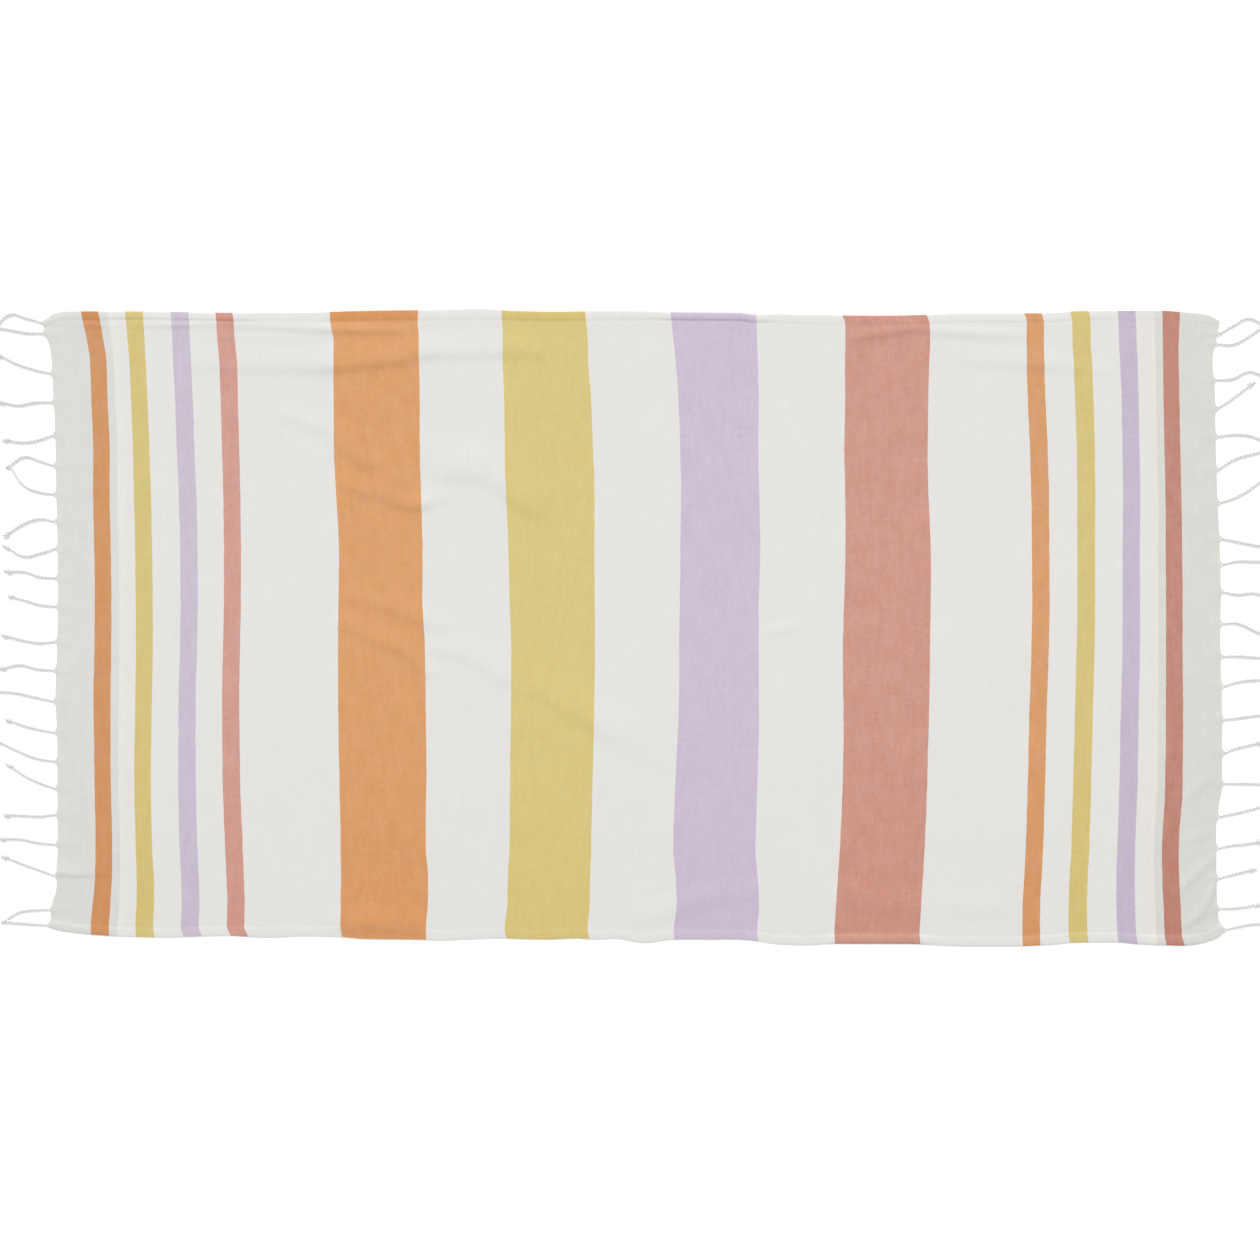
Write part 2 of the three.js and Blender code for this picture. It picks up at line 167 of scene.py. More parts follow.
# How puffed each hem stands along its length, as a share of that section, and how wide it is
# there, to its stitching.
HEMS = {
    "upper": table("along loft wide", [
        (0, 0.3, 13), (50, 0.35, 13), (76, 0.4, 12.8), (100, 0.55, 12.6), (200, 0.6, 12.6),
        (232, 0.6, 12.6), (240, 0.9, 12.6), (260, 0.9, 12.6), (300, 0.3, 13), (380, 0.25, 14),
        (410, 0.35, 15.5), (515, 0.35, 15.5), (550, 0.2, 15), (635, 0.2, 14.5), (660, 0.4, 14),
        (760, 0.4, 14), (795, 0.3, 14), (870, 0.5, 13), (900, 0.9, 12.7), (1000, 0.9, 12.7),
        (1040, 0.35, 13), (1110, 0.2, 14), (1190, 0.3, 14), (1215, 0.5, 14), (1250, 0.5, 14),
        (1275, 0.25, 13.5), (1390, 0.2, 13), (1412, 0.3, 13), (1450, 0.2, 13), (1510, 0.2, 13),
        (1550, 0.06, 13), (1620, 0.06, 13), (LENGTH, 0.2, 13),
    ]),
    "lower": table("along loft wide", [
        (0, 0.2, 14), (50, 0.4, 14.5), (76, 0.4, 14.5), (90, 0.15, 14.5), (230, 0.2, 14.5),
        (250, 0.4, 14.5), (270, 0.2, 16), (400, 0.15, 17), (530, 0.12, 17), (640, 0.12, 14.5),
        (700, 0.15, 14), (900, 0.18, 14), (1110, 0.2, 15), (1135, 0.9, 15), (1250, 0.9, 15),
        (1275, 0.25, 15), (1390, 0.2, 15), (1412, 0.8, 15), (1430, 0.25, 15.5), (1530, 0.3, 15.5),
        (1600, 0.6, 16), (1620, 0.6, 16), (1640, 0.3, 15), (LENGTH, 0.2, 14),
    ]),
}
HEM_ROOM = 1.5  # how many times the section's thickness a hem's puff can reach

# The cloth's mesh: how far in from a long side its rows lie at a hem, and from a short end its
# columns there, with an even pitch between. Four more rows lie where the sharpest crease runs.
HEM_ROWS = [
    0, 0.6, 1.5, 3, 4.8, 6.6, 8.2, 9.8, 11, 12, 13, 14.2, 15.5, 16.8, 18, 20, 22.5, 25, 28, 31.5,
    35.5, 40,
]
END_COLUMNS = [0, 1.5, 3.5, 6, 9, 13, 18]
EVEN_ROWS = 142
EVEN_COLUMNS = 250
CREASE_ROWS = [72, 77.5, 83.5, 89]

# The creases left in the cloth, each a low ridge along a line of points: x, y and its height there.
# It slopes away over 'upper' on its upper side and over 'lower' on its lower side.
CREASES = table("lower upper line", [
    (11, 38, [(-690, 371, 0), (-573, 372, 1.4), (-480, 371, 1.8), (-436, 371, 3), (-343, 382, 3.2),
              (-314, 390, 2.4), (-250, 392, 1.6), (-165, 393, 1.8), (-112, 390, 0)]),
    (9, 13, [(-749, 434, 0), (-703, 433, 0.6), (-595, 434, 0.6), (-541, 431, 0.7), (-487, 428, 1),
             (-441, 426, 2), (-393, 425, 2.2), (-350, 424, 1.5), (-314, 423, 0)]),
    (6, 10, [(-624, 415, 0), (-580, 414, 0.5), (-516, 413, 0.5), (-472, 411, 0)]),
    (4, 7, [(-810, 433, 0), (-797, 433, 0.8), (-778, 431, 1.1), (-765, 431, 0.2), (-690, 431, 0.2),
            (-672, 431, 0.7), (-648, 431, 0.7), (-630, 431, 0)]),
    (11, 26, [(-541, 305, 0), (-501, 299, 0.9), (-444, 280, 1.4), (-422, 253, 2.4),
              (-397, 234, 2.2), (-354, 227, 0)]),
    (13, 24, [(-444, 218, 0), (-422, 204, 1.6), (-393, 192, 2.2), (-364, 188, 2), (-340, 174, 3),
              (-317, 172, 3), (-285, 182, 1), (-264, 188, 0)]),
    (24, 60, [(-300, 214, 0), (-271, 223, 2.6), (-230, 221, 3), (-209, 211, 2.4), (-187, 197, 2.4),
              (-170, 181, 3), (-148, 169, 2), (-124, 156, 0)]),
    (11, 24, [(-436, 41, 0), (-403, 37, 1.2), (-372, 31, 1.4), (-346, 21, 1.8), (-321, 9, 2.2),
              (-297, 2, 1.4), (-256, -7, 0)]),
    (11, 24, [(-444, 12, 0), (-422, 1, 1.4), (-386, -18, 1.6), (-364, -25, 2.2), (-343, -35, 2),
              (-325, -51, 1.8), (-307, -66, 1.4), (-278, -81, 0)]),
    (17, 40, [(-317, -30, 0), (-285, -33, 1.1), (-249, -42, 1.6), (-223, -56, 1.7),
              (-199, -74, 1.4), (-170, -94, 0)]),
    (24, 52, [(-170, -77, 0), (-141, -91, 1.1), (-112, -110, 1.8), (-84, -128, 2.3),
              (-55, -144, 2.1), (-26, -159, 1.7), (10, -185, 0.9), (46, -213, 0)]),
    (10, 16, [(288, 411, 0), (313, 414, 1.8), (349, 420, 2), (377, 424, 2.2), (399, 428, 2),
             (428, 423, 1.2), (464, 421, 1.4), (521, 418, 1.2), (579, 417, 0)]),
    (13, 30, [(421, 382, 0), (493, 381, 0.8), (550, 377, 1.4), (586, 374, 2), (615, 372, 1.2),
              (658, 365, 0.8), (701, 361, 0)]),
    (10, 14, [(154, -12, 0), (190, -9, 0.8), (219, -4, 0.8), (248, 1, 0)]),
    (9, 12, [(759, -400, 0), (781, -381, 1.3), (805, -356, 1.8), (827, -338, 1.3), (841, -328, 0)]),
    (8, 10, [(777, -440, 0), (795, -427, 1.6), (809, -418, 2.2), (819, -400, 2.3), (827, -381, 1.6),
             (832, -366, 0)]),
    (3.5, 24, [(-842, -355.5, 1.1), (-829, -357, 1.8), (-812, -360, 1.5), (-788, -360, 1),
               (-770, -359.5, 0.7), (-752, -359.5, 0)]),
    (9, 14, [(769, -316, 0), (792, -310, 0.9), (815, -302, 1), (838, -286, 0)]),
    (9, 14, [(773, -263, 0), (795, -244, 0.9), (817, -224, 1), (838, -208, 0)]),
    (17, 36, [(-451, -436, 0), (-422, -431, 1.8), (-379, -430, 2.6), (-328, -433, 2.4),
              (-302, -435, 0)]),
    (22, 30, [(-19, -427, 0), (32, -413, 1), (89, -395, 1.4), (140, -385, 1), (190, -381, 0)]),
    (34, 34, [(269, -395, 0), (305, -392, 1.6), (349, -395, 1.8), (385, -403, 1), (421, -407, 0)]),
    (28, 28, [(421, -403, 0), (464, -400, 1), (507, -403, 1), (550, -410, 0)]),
    (8, 8, [(349, 130, 0), (349, 90, 1.1), (350, 40, 1), (348, 5, 0)]),
    (8, 8, [(318, 55, 0), (319, 10, 0.9), (318, -60, 0.9), (317, -110, 0)]),
])

# One row a strand. 'root' is where it leaves the cloth's end, as a height above the middle.
# 'reach' is from there to its knot, and the last three are how far it has swung up the end at
# one third, two thirds and the whole of that. A strand without a knot is tied into its neighbour's.
STRAND_COLUMNS = "root reach third two_thirds end knotted"
LEFT_STRANDS = table(STRAND_COLUMNS, [
    (436, 71, 7, 12.5, 4, 0), (421, 69, 1, 5, 9, 1), (363.5, 73, 6, 14, 26, 1),
    (322, 73, 0, -4, 0, 1), (274.5, 68, -7, -10, -7, 1), (230.5, 65, 7.5, 13, 0, 1),
    (189.5, 65, 3.5, 12, 33, 0), (150.5, 70.5, 3.5, -4, -19, 1), (111.5, 70.5, -7, -11, 2, 1),
    (69, 69, 2, 9, 10, 1), (28, 65, 2.5, 8.5, 14.5, 1), (-22.5, 72, -1.5, 2.5, 8.5, 1),
    (-64, 75, 2.5, 8, 4, 1), (-108.5, 83.5, 6.5, 12.5, 14.5, 1), (-153.5, 67, 4.5, 10, 18, 1),
    (-195, 83.5, 5, 16, 29, 1), (-234, 66, 8, 18, 33, 1), (-271.5, 70, -2, -1, 0, 1),
    (-314.5, 78, 3, 8, 8.5, 1), (-359.5, 72, 9, 17.5, 27, 1), (-408, 66, -0.5, -3.5, -16, 1),
    (-430.5, 62, 1.5, 3, 1, 0),
])
RIGHT_STRANDS = table(STRAND_COLUMNS, [
    (420, 63, 12.5, 22.5, 18, 0), (405.5, 69, 0, 11, 27.5, 1), (354, 73.5, 2, 12, 3.5, 1),
    (313, 48.5, 10.5, 22, 34.5, 1), (272.5, 72, 3, 1, -9, 1), (225.5, 73.5, 15, 22, 28, 1),
    (177, 70.5, 8.5, 22, 42, 1), (125.5, 69, -4, -8.5, -12, 1), (88.5, 70.5, 5, 4.5, 6, 1),
    (49, 66, -3.5, -1.5, -8, 1), (3, 66, 0.8, -8.5, -18, 1), (-44, 70.5, 0.8, -0.8, -1.8, 1),
    (-87, 67.5, 7, 9.5, 10.5, 1), (-135, 66, 3, 6, 8.5, 1), (-183, 50.5, 7, 11, 15, 1),
    (-227, 66, 0.5, 0.2, 0, 1), (-274.5, 67.5, 5, 10.5, 17, 1), (-320, 59, 4.5, 6.5, 10, 1),
    (-363.5, 48.5, 5, 9, 13, 1), (-407, 56, 1, 3, 7, 1), (-437, 62, 5, 8.5, 7.5, 1),
])
# By side, -1 for the left and 1 for the right: each strand without a knot, and the strand whose
# knot it shares. Its tip lies this far back from that knot, beside it and above it.
TIED_TO = {-1: {0: 1, 6: 5, 21: 20}, 1: {0: 1}}
TIED_TIP = {"back": 1.5, "beside": 1.5, "above": 0.6}

ROOT_PULL = {"out": 1.6, "half": 9, "deep": 18}  # a strand's root pulls the cloth's end out
ROOT_GATHER = {"high": 0.9, "half": 9, "deep": 42}  # and gathers it into a low ridge

# How unevenly the hems puff, and how the cloth lies over the floor: in broad swells and finer ones,
# and puckered past the hems' stitching. 'along' and 'across' are the size of each uneven spot, and
# 'layer' keeps one pattern apart from another.
HEM_PUFF = {"varies": 0.25, "along": 34, "across": 200, "layer": 3}
SWELL = {"high": 0.45, "along": 110, "across": 95, "layer": 0}
RIPPLE = {"high": 0.15, "along": 38, "across": 30, "layer": 7}
PUCKER = {
    "high": 0.1, "varies": 0.3, "along": 13, "across": 100, "layer": 5, "past_stitching": 4, "half": 16,
}
# These three start and are full this far in from a short end, and from a long side, where they
# never quite die out.
LIFTS_FROM_END = (1, 24)
LIFTS_FROM_SIDE = (-6, 14)

# A stitch dips into the cloth at both ends. Its seam starts 'from_end' of the cloth, lies 'clear'
# above it, and is drawn in so many steps.
STITCH = {
    "long": 1.8, "pitch": 3.3, "thick": 0.16, "dips": 0.35, "stands": 0.08, "clear": 0.1,
    "from_end": 3, "steps": 208,
}
# A strand is two plies twisted about each other, a little thinner at its root. It starts a short
# way past the cloth's end.
PLY = {
    "radius": 1.6, "apart": 0.8, "sides": 6, "lay": 9.5, "steps": 12, "at_root": 0.75,
    "thins_over": 24, "starts": 1.2,
}
STRAND_HALF = PLY["radius"] + PLY["apart"]
# The cloth's yarns that gather into a strand, as a fan that closes. For points along them, 'out'
# is how far past the cloth's end each lies, and 'half' how far off the fan's outermost yarns are.
ROOT_YARNS = {"count": 9, "thick": 0.5}
ROOT_LINE = table("out half high", [
    (-1.4, 3.8, -0.35), (0.2, 2.5, -0.15), (1.6, 1.2, 0), (4.4, 0.5, 0.15),
])
# The knot's turns lie 'around' its core, and 'squat' is how far it has flattened. From here on
# angles are in radians, and a pair of numbers is the range that the copies are spread over.
KNOT = {
    "turns": 1.6, "around": 2.4, "long": 6, "thick": 1.75, "steps": 12, "tail": 4.8, "core": 3.4,
    "core_bow": 0.2, "squat": 0.75, "roll": 2.1, "sizes": (0.92, 1.12),
}
# A tuft's hairs stand round a flattened circle, each turned on from the last by the golden angle.
TUFT = {
    "count": 18, "thick": 0.4, "turn": 2.4, "flat": 0.6, "start": 0.8, "spread": (0.4, 1.9),
    "long": (3.4, 6), "bend": 0.55, "flare": 1.3, "curl": 0.9, "curl_step": 1.3, "droop": 0.6,
    "past_knot": 2.4, "high": 2, "lean": 0.5, "lean_step": 1.7, "sizes": (0.85, 1.2),
}
SEAM_GAP = 0.02  # points of neighbouring lays closer than this are one
FLOOR_CLEAR = 0.02  # the least height of the fringe above the floor

CLOTH_SHARP = math.radians(40)  # faces that meet at more than this have a sharp edge between them
YARN_SHARP = math.radians(60)


# ---------------------------------------------------------------- working with Blender's objects

def pick(*objects):
    """Selects these objects alone, the last one active."""
    bpy.ops.object.select_all(action="DESELECT")
    for thing in objects:
        thing.select_set(True)
        bpy.context.view_layer.objects.active = thing


def named(name):
    """The object just added, under this name."""
    thing = bpy.context.object
    thing.name = name
    thing.data.name = name
    return thing


def copied(thing, name):
    """A copy with its own mesh."""
    twin = thing.copy()
    twin.data = thing.data.copy()
    twin.name = name
    bpy.context.collection.objects.link(twin)
    return twin


def removed(*things):
    """Takes these objects out of the scene."""
    for thing in things:
        bpy.data.objects.remove(thing, do_unlink=True)


def with_modifiers_applied(thing):
    """The object with all its modifiers made part of its mesh."""
    pick(thing)
    for modifier in list(thing.modifiers):
        bpy.ops.object.modifier_apply(modifier=modifier.name)
    return thing


def joined(parts, name):
    """One object of all these."""
    pick(*parts)
    bpy.ops.object.join()
    return named(name)


def open_ends_closed(thing):
    """The mesh with a face over each open end."""
    pick(thing)
    bpy.ops.object.mode_set(mode="EDIT")
    bpy.ops.mesh.select_mode(type="EDGE")
    bpy.ops.mesh.select_all(action="DESELECT")
    bpy.ops.mesh.select_non_manifold()
    bpy.ops.mesh.fill_holes(sides=0)
    bpy.ops.mesh.select_all(action="SELECT")
    bpy.ops.mesh.normals_make_consistent(inside=False)
    bpy.ops.object.mode_set(mode="OBJECT")
    return thing


def smooth_line(name, points, thick=0, sides=2):
    """A smooth curve through these points, in millimetres, with a round section if it is thick."""
    bpy.ops.object.select_all(action="DESELECT")
    bpy.ops.curve.primitive_bezier_curve_add()
    line = named(name)
    line.data.resolution_u = 6
    line.data.bevel_depth = thick * MM
    line.data.bevel_resolution = sides - 1
    line.data.use_fill_caps = thick > 0
    spline = line.data.splines[0]
    spline.bezier_points.add(len(points) - 2)
    for knot, point in zip(spline.bezier_points, points):
        knot.co = Vector(point) * MM
        knot.handle_left_type = "AUTO"
        knot.handle_right_type = "AUTO"
    return line


def meshed(line):
    """The curve's tube as a mesh."""
    pick(line)
    bpy.ops.object.convert(target="MESH")
    return bpy.context.object


# ------------------------------------------------------------------------ where the cloth lies

def smooth_value(rows, key, column, at):
    """The column's value on a smooth line through the rows, which never swings past a row."""
    def slope(i):
        return (rows[i + 1][column] - rows[i][column]) / (rows[i + 1][key] - rows[i][key])

    def lean(i):
        if i in (0, len(rows) - 1):
            return slope(min(i, len(rows) - 2))
        before = slope(i - 1)
        after = slope(i)
        return 2 * before * after / (before + after) if before * after > 0 else 0

    i = max(0, min(len(rows) - 2, sum(row[key] < at for row in rows) - 1))
    span = rows[i + 1][key] - rows[i][key]
    t = (at - rows[i][key]) / span
    rise = rows[i][column] + (rows[i + 1][column] - rows[i][column]) * t * t * (3 - 2 * t)
    return rise + span * t * (1 - t) * (lean(i) * (1 - t) - lean(i + 1) * t)


def straight_value(stops, at):
    """The value at a place along (place, value) stops."""
    for (a, low), (b, high) in zip(stops, stops[1:]):
        if at <= b:
            return low + (high - low) * (at - a) / (b - a)
    return stops[-1][1]


def smooth_step(low, high, at):
    """0 below low, 1 above high, and an easy rise between."""
    t = max(0, min(1, (at - low) / (high - low)))
    return t * t * (3 - 2 * t)


def rounded(away, half):
    """1 at nothing away, falling as a cosine squared to 0 at half."""
    return math.cos(math.pi / 2 * away / half) ** 2 if away < half else 0


def unevenness(spots, along, across):
    """A smooth uneven value from -1 to 1 at a place, in spots of this size."""
    return noise.noise(Vector((along / spots["along"], across / spots["across"], spots["layer"])))


def varied(low, high, n, step, count):
    """A value between low and high that jumps about from one copy to the next."""
    return low + (high - low) * (n * step % count) / count


def spaced(edge, whole, cells):
    """Places over the whole: the edge's own in from either side, and even cells between."""
    pitch = (whole - 2 * edge[-1]) / cells
    middle = [edge[-1] + pitch * i for i in range(1, cells)]
    return edge + middle + [whole - place for place in reversed(edge)]


def stops_across(across):
    """The cloth's x at its ends, its narrow stripes' middles and its wide stripes' edges."""
    left = -LENGTH / 2 - smooth_value(OUTLINE["left"], "along", "out", across)
    right = LENGTH / 2 + smooth_value(OUTLINE["right"], "along", "out", across)
    stops = []
    for stripe, column in zip(DYED, DRIFT_COLUMNS):
        middle = (stripe["start"] + stripe["end"]) / 2
        x = LEFT_REST + middle + smooth_value(DRIFT, "across", column, across)
        if stripe["dye"] in SPREAD[0]:
            half = smooth_value(SPREAD, "across", stripe["dye"], across) / 2
            stops += [(stripe["start"], x - half), (stripe["end"], x + half)]
        else:
            stops.append((middle, x))
    return [(0, left), *stops, (LENGTH, right)]


def sides_along(along):
    """The y of the cloth's lower and upper sides."""
    lower = -WIDTH / 2 - smooth_value(OUTLINE["lower"], "along", "out", along)
    upper = WIDTH / 2 + smooth_value(OUTLINE["upper"], "along", "out", along)
    return lower, upper


def root_pull(strands, from_end, y, pull):
    """How strongly the strands' roots act on the cloth, from 0 to 1."""
    if from_end >= pull["deep"]:
        return 0
    near = max(rounded(abs(y - strand["root"]), pull["half"]) for strand in strands)
    return near * (1 - from_end / pull["deep"]) ** 2


def crease_parts(crease):
    """A crease's two slopes, its line's straight stretches, and the box that it acts in."""
    wide = max(crease["lower"], crease["upper"])
    line = crease["line"]
    parts = []
    for (ax, ay, low), (bx, by, high) in zip(line, line[1:]):
        parts.append((ax, ay, bx - ax, by - ay, low, high))
    box = (
        min(p[0] for p in line) - wide, max(p[0] for p in line) + wide,
        min(p[1] for p in line) - wide, max(p[1] for p in line) + wide,
    )
    return crease["lower"], crease["upper"], parts, box


CREASE_PARTS = [crease_parts(crease) for crease in CREASES]


def crease_lift(x, y):
    """How high the creases lift the cloth at a point."""
    lift = 0
    for lower, upper, parts, (left, right, bottom, top) in CREASE_PARTS:
        if not (left < x < right and bottom < y < top):
            continue
        nearest = None
        for ax, ay, run_x, run_y, low, high in parts:
            t = ((x - ax) * run_x + (y - ay) * run_y) / (run_x * run_x + run_y * run_y)
            t = max(0, min(1, t))
            off_x = x - ax - run_x * t
            off_y = y - ay - run_y * t
            away = math.hypot(off_x, off_y)
            if nearest is None or away < nearest[0]:
                above = run_x * off_y - run_y * off_x > 0
                nearest = (away, upper if above else lower, low + (high - low) * smooth_step(0, 1, t))
        away, half, high = nearest
        lift += high * rounded(away, half)
    return lift


def hem_at(along, across):
    """The nearer hem's loft and width at a place on the cloth."""
    rows = HEMS["lower" if across < WIDTH / 2 else "upper"]
    return smooth_value(rows, "along", "loft", along), smooth_value(rows, "along", "wide", along)


def hem_thickness(along, across):
    """The cloth's thickness at a place, puffed at its hems. The lower hem's inner edge is flat."""
    inset = min(across, WIDTH - across)
    if inset >= HEM_ROWS[-1]:
        return CLOTH_THICK
    loft, wide = hem_at(along, across)
    inset *= STITCH_INSET / wide
    if inset > STITCH_INSET and across < WIDTH / 2:
        return CLOTH_THICK
    loft *= 1 + HEM_PUFF["varies"] * unevenness(HEM_PUFF, along, across)
    section = straight_value([(row["inset"], row["thick"]) for row in HEM_SECTION], inset)
    return CLOTH_THICK + (section - CLOTH_THICK) * (loft if section > CLOTH_THICK else 1)


def top_of_cloth(along, across, stops=None, sides=None):
    """The point of the cloth's upper face, in millimetres."""
    stops = stops or stops_across(across)
    lower, upper = sides or sides_along(along)
    x = straight_value(stops, along)
    y = lower + (upper - lower) * across / WIDTH
    from_end = min(along, LENGTH - along)
    inset = min(across, WIDTH - across)
    side, strands = (-1, LEFT_STRANDS) if along < LENGTH / 2 else (1, RIGHT_STRANDS)
    x += side * ROOT_PULL["out"] * root_pull(strands, from_end, y, ROOT_PULL)

    lift = sum(form["high"] * (1 + unevenness(form, x, y)) for form in (SWELL, RIPPLE))
    hem = 0 if across < WIDTH / 2 else WIDTH
    pucker = PUCKER["high"] + PUCKER["varies"] * unevenness(PUCKER, along, hem)
    lift += pucker * rounded(abs(inset - STITCH_INSET - PUCKER["past_stitching"]), PUCKER["half"])
    lift *= smooth_step(*LIFTS_FROM_END, from_end) * smooth_step(*LIFTS_FROM_SIDE, inset)
    lift += crease_lift(x, y)
    lift += ROOT_GATHER["high"] * root_pull(strands, from_end, y, ROOT_GATHER)
    return Vector((x, y, lift + hem_thickness(along, across)))


# ----------------------------------------------------------------------------------- the cloth

def thicken(cloth, places):
    """Gives the cloth its thickness at each of its places, and keeps it above the floor."""
    most = HEM_ROOM * max(row["thick"] for row in HEM_SECTION)
    weights = {}
    for index, place in enumerate(places):
        share = round(hem_thickness(*place) / most, 4)
        weights.setdefault(share, []).append(index)
    thickness = cloth.vertex_groups.new(name="thickness")
    for share, indices in weights.items():
        thickness.add(indices, share, "REPLACE")
    layer = cloth.modifiers.new("layer", "SOLIDIFY")
    layer.thickness = most * MM
    layer.offset = -1
    layer.vertex_group = thickness.name
    with_modifiers_applied(cloth)
    for vertex in cloth.data.vertices:
        vertex.co.z = max(vertex.co.z, 0)


def make_cloth():
    """The cloth: a fine grid laid on its folds, with its own thickness under it."""
    columns = spaced(END_COLUMNS, LENGTH, EVEN_COLUMNS)
    rows = sorted(spaced(HEM_ROWS, WIDTH, EVEN_ROWS) + CREASE_ROWS)
    wide = len(columns) - 1
    tall = len(rows) - 1
    bpy.ops.object.select_all(action="DESELECT")
    bpy.ops.mesh.primitive_grid_add(x_subdivisions=wide, y_subdivisions=tall, size=1)
    cloth = named("striped_cloth")
    stops = [stops_across(across) for across in rows]
    sides = [sides_along(along) for along in columns]
    places = []
    for vertex in cloth.data.vertices:
        i = round((vertex.co.x + 0.5) * wide)
        j = round((vertex.co.y + 0.5) * tall)
        places.append((columns[i], rows[j]))
        vertex.co = top_of_cloth(columns[i], rows[j], stops[j], sides[i]) * MM
    weave = cloth.data.uv_layers.active.data
    for loop in cloth.data.loops:
        along, across = places[loop.vertex_index]
        weave[loop.index].uv = (along / LENGTH, across / WIDTH)
    thicken(cloth, places)
    pick(cloth)
    bpy.ops.object.shade_smooth_by_angle(angle=CLOTH_SHARP)
    return cloth


# ------------------------------------------------------------------------------ the stitching

def make_stitch():
    """One stitch, from a hole in the cloth to the next, along X."""
    long = STITCH["long"]
    dips = -STITCH["dips"]
    points = [(0, 0, dips), (long / 2, 0, STITCH["stands"]), (long, 0, dips)]
    return meshed(smooth_line("stitch", points, STITCH["thick"], 1))


def seam_line(hem):
    """The line on the cloth that a hem's stitching follows."""
    points = []
    for i in range(STITCH["steps"] + 1):
        along = STITCH["from_end"] + (LENGTH - 2 * STITCH["from_end"]) * i / STITCH["steps"]
        inset = hem_at(along, 0 if hem == "lower" else WIDTH)[1]
        across = inset if hem == "lower" else WIDTH - inset
        points.append(top_of_cloth(along, across) + Vector((0, 0, STITCH["clear"])))
    return smooth_line(hem, points)


def make_stitching():
    """Both hems' rows of stitches, one stitch copied along each."""
    stitch = make_stitch()
    pitch = STITCH["pitch"] * MM
    rows = []
    for hem in HEMS:
        seam = seam_line(hem)
        row = copied(stitch, hem)
        repeat = row.modifiers.new("repeat", "ARRAY")
        repeat.use_relative_offset = False
        repeat.use_constant_offset = True
        repeat.constant_offset_displace = (pitch, 0, 0)
        repeat.count = math.floor(seam.data.splines[0].calc_length() / pitch)
        follow = row.modifiers.new("follow", "CURVE")
        follow.object = seam
        rows.append(with_modifiers_applied(row))
        removed(seam)
    removed(stitch)
    stitching = joined(rows, "hem_stitching")
    bpy.ops.object.shade_smooth_by_angle(angle=YARN_SHARP)
    return stitching


# --------------------------------------------------------------------------------- the fringe

def make_twist():
    """One lay of the two plies, twisted about the X axis."""
    plies = []
    for turn in (1, -1):
        bpy.ops.object.select_all(action="DESELECT")
        bpy.ops.mesh.primitive_circle_add(vertices=PLY["sides"], radius=PLY["radius"] * MM)
        ply = named("ply")
        ply.data.transform(Matrix.Rotation(math.pi / 2, 4, "Y"))
        ply.data.transform(Matrix.Translation((0, turn * PLY["apart"] * MM, 0)))
        plies.append(ply)
    twist = joined(plies, "twist")
    screw = twist.modifiers.new("twist", "SCREW")
    screw.axis = "X"
    screw.angle = math.tau
    screw.screw_offset = PLY["lay"] * MM
    screw.steps = PLY["steps"]
    screw.render_steps = PLY["steps"]
    screw.use_merge_vertices = False
    return with_modifiers_applied(twist)


def make_knot():
    """An overhand knot pulled tight, along X about the origin: the strand wound round itself."""
    turns = []
    for i in range(KNOT["steps"] + 1):
        share = i / KNOT["steps"]
        angle = math.tau * KNOT["turns"] * share
        y = KNOT["around"] * math.cos(angle)
        z = KNOT["around"] * math.sin(angle)
        turns.append((KNOT["long"] * (share - 0.5), y, z))
    tail = KNOT["tail"]
    wound = smooth_line("wound", [(-tail, 0, 0), *turns, (tail, 0, 0)], KNOT["thick"])
    wound.data.resolution_u = 3
    half = KNOT["core"]
    core = smooth_line("core", [(-half, 0, 0), (0, KNOT["core_bow"], 0), (half, 0, 0)], KNOT["thick"])
    core.data.resolution_u = 1
    return joined([meshed(wound), meshed(core)], "knot")


def make_tuft():
    """The frayed end past a knot, along X from the origin: short hairs that spread and curl."""
    hairs = []
    for i in range(TUFT["count"]):
        side = math.cos(i * TUFT["turn"])
        up = math.sin(i * TUFT["turn"]) * TUFT["flat"]
        spread = varied(*TUFT["spread"], i, 5, TUFT["count"])
        long = varied(*TUFT["long"], i, 7, TUFT["count"])
        flare = spread * TUFT["flare"]
        curl = TUFT["curl"] * math.sin(i * TUFT["curl_step"])
        hairs.append(meshed(smooth_line("hair", [
            (0, side * TUFT["start"], up * TUFT["start"]),
            (long * TUFT["bend"], side * spread, up * spread),
            (long, side * flare + curl, up * spread * TUFT["flat"] - TUFT["droop"]),
        ], TUFT["thick"], 1)))
    return joined(hairs, "tuft")


def make_root():
    """The cloth's own yarns drawn together into a strand, along X from the origin."""
    yarns = []
    for i in range(ROOT_YARNS["count"]):
        off = 2 * i / (ROOT_YARNS["count"] - 1) - 1
        points = [(row["out"], off * row["half"], row["high"]) for row in ROOT_LINE]
        yarns.append(meshed(smooth_line("yarn", points, ROOT_YARNS["thick"], 1)))
    return joined(yarns, "root")


def cloth_end(side, y):
    """The x of the cloth's end at a height, where a strand's root has pulled it out."""
    along = 0 if side < 0 else LENGTH
    lower, upper = sides_along(along)
    across = WIDTH * (y - lower) / (upper - lower)
    return top_of_cloth(along, across).x


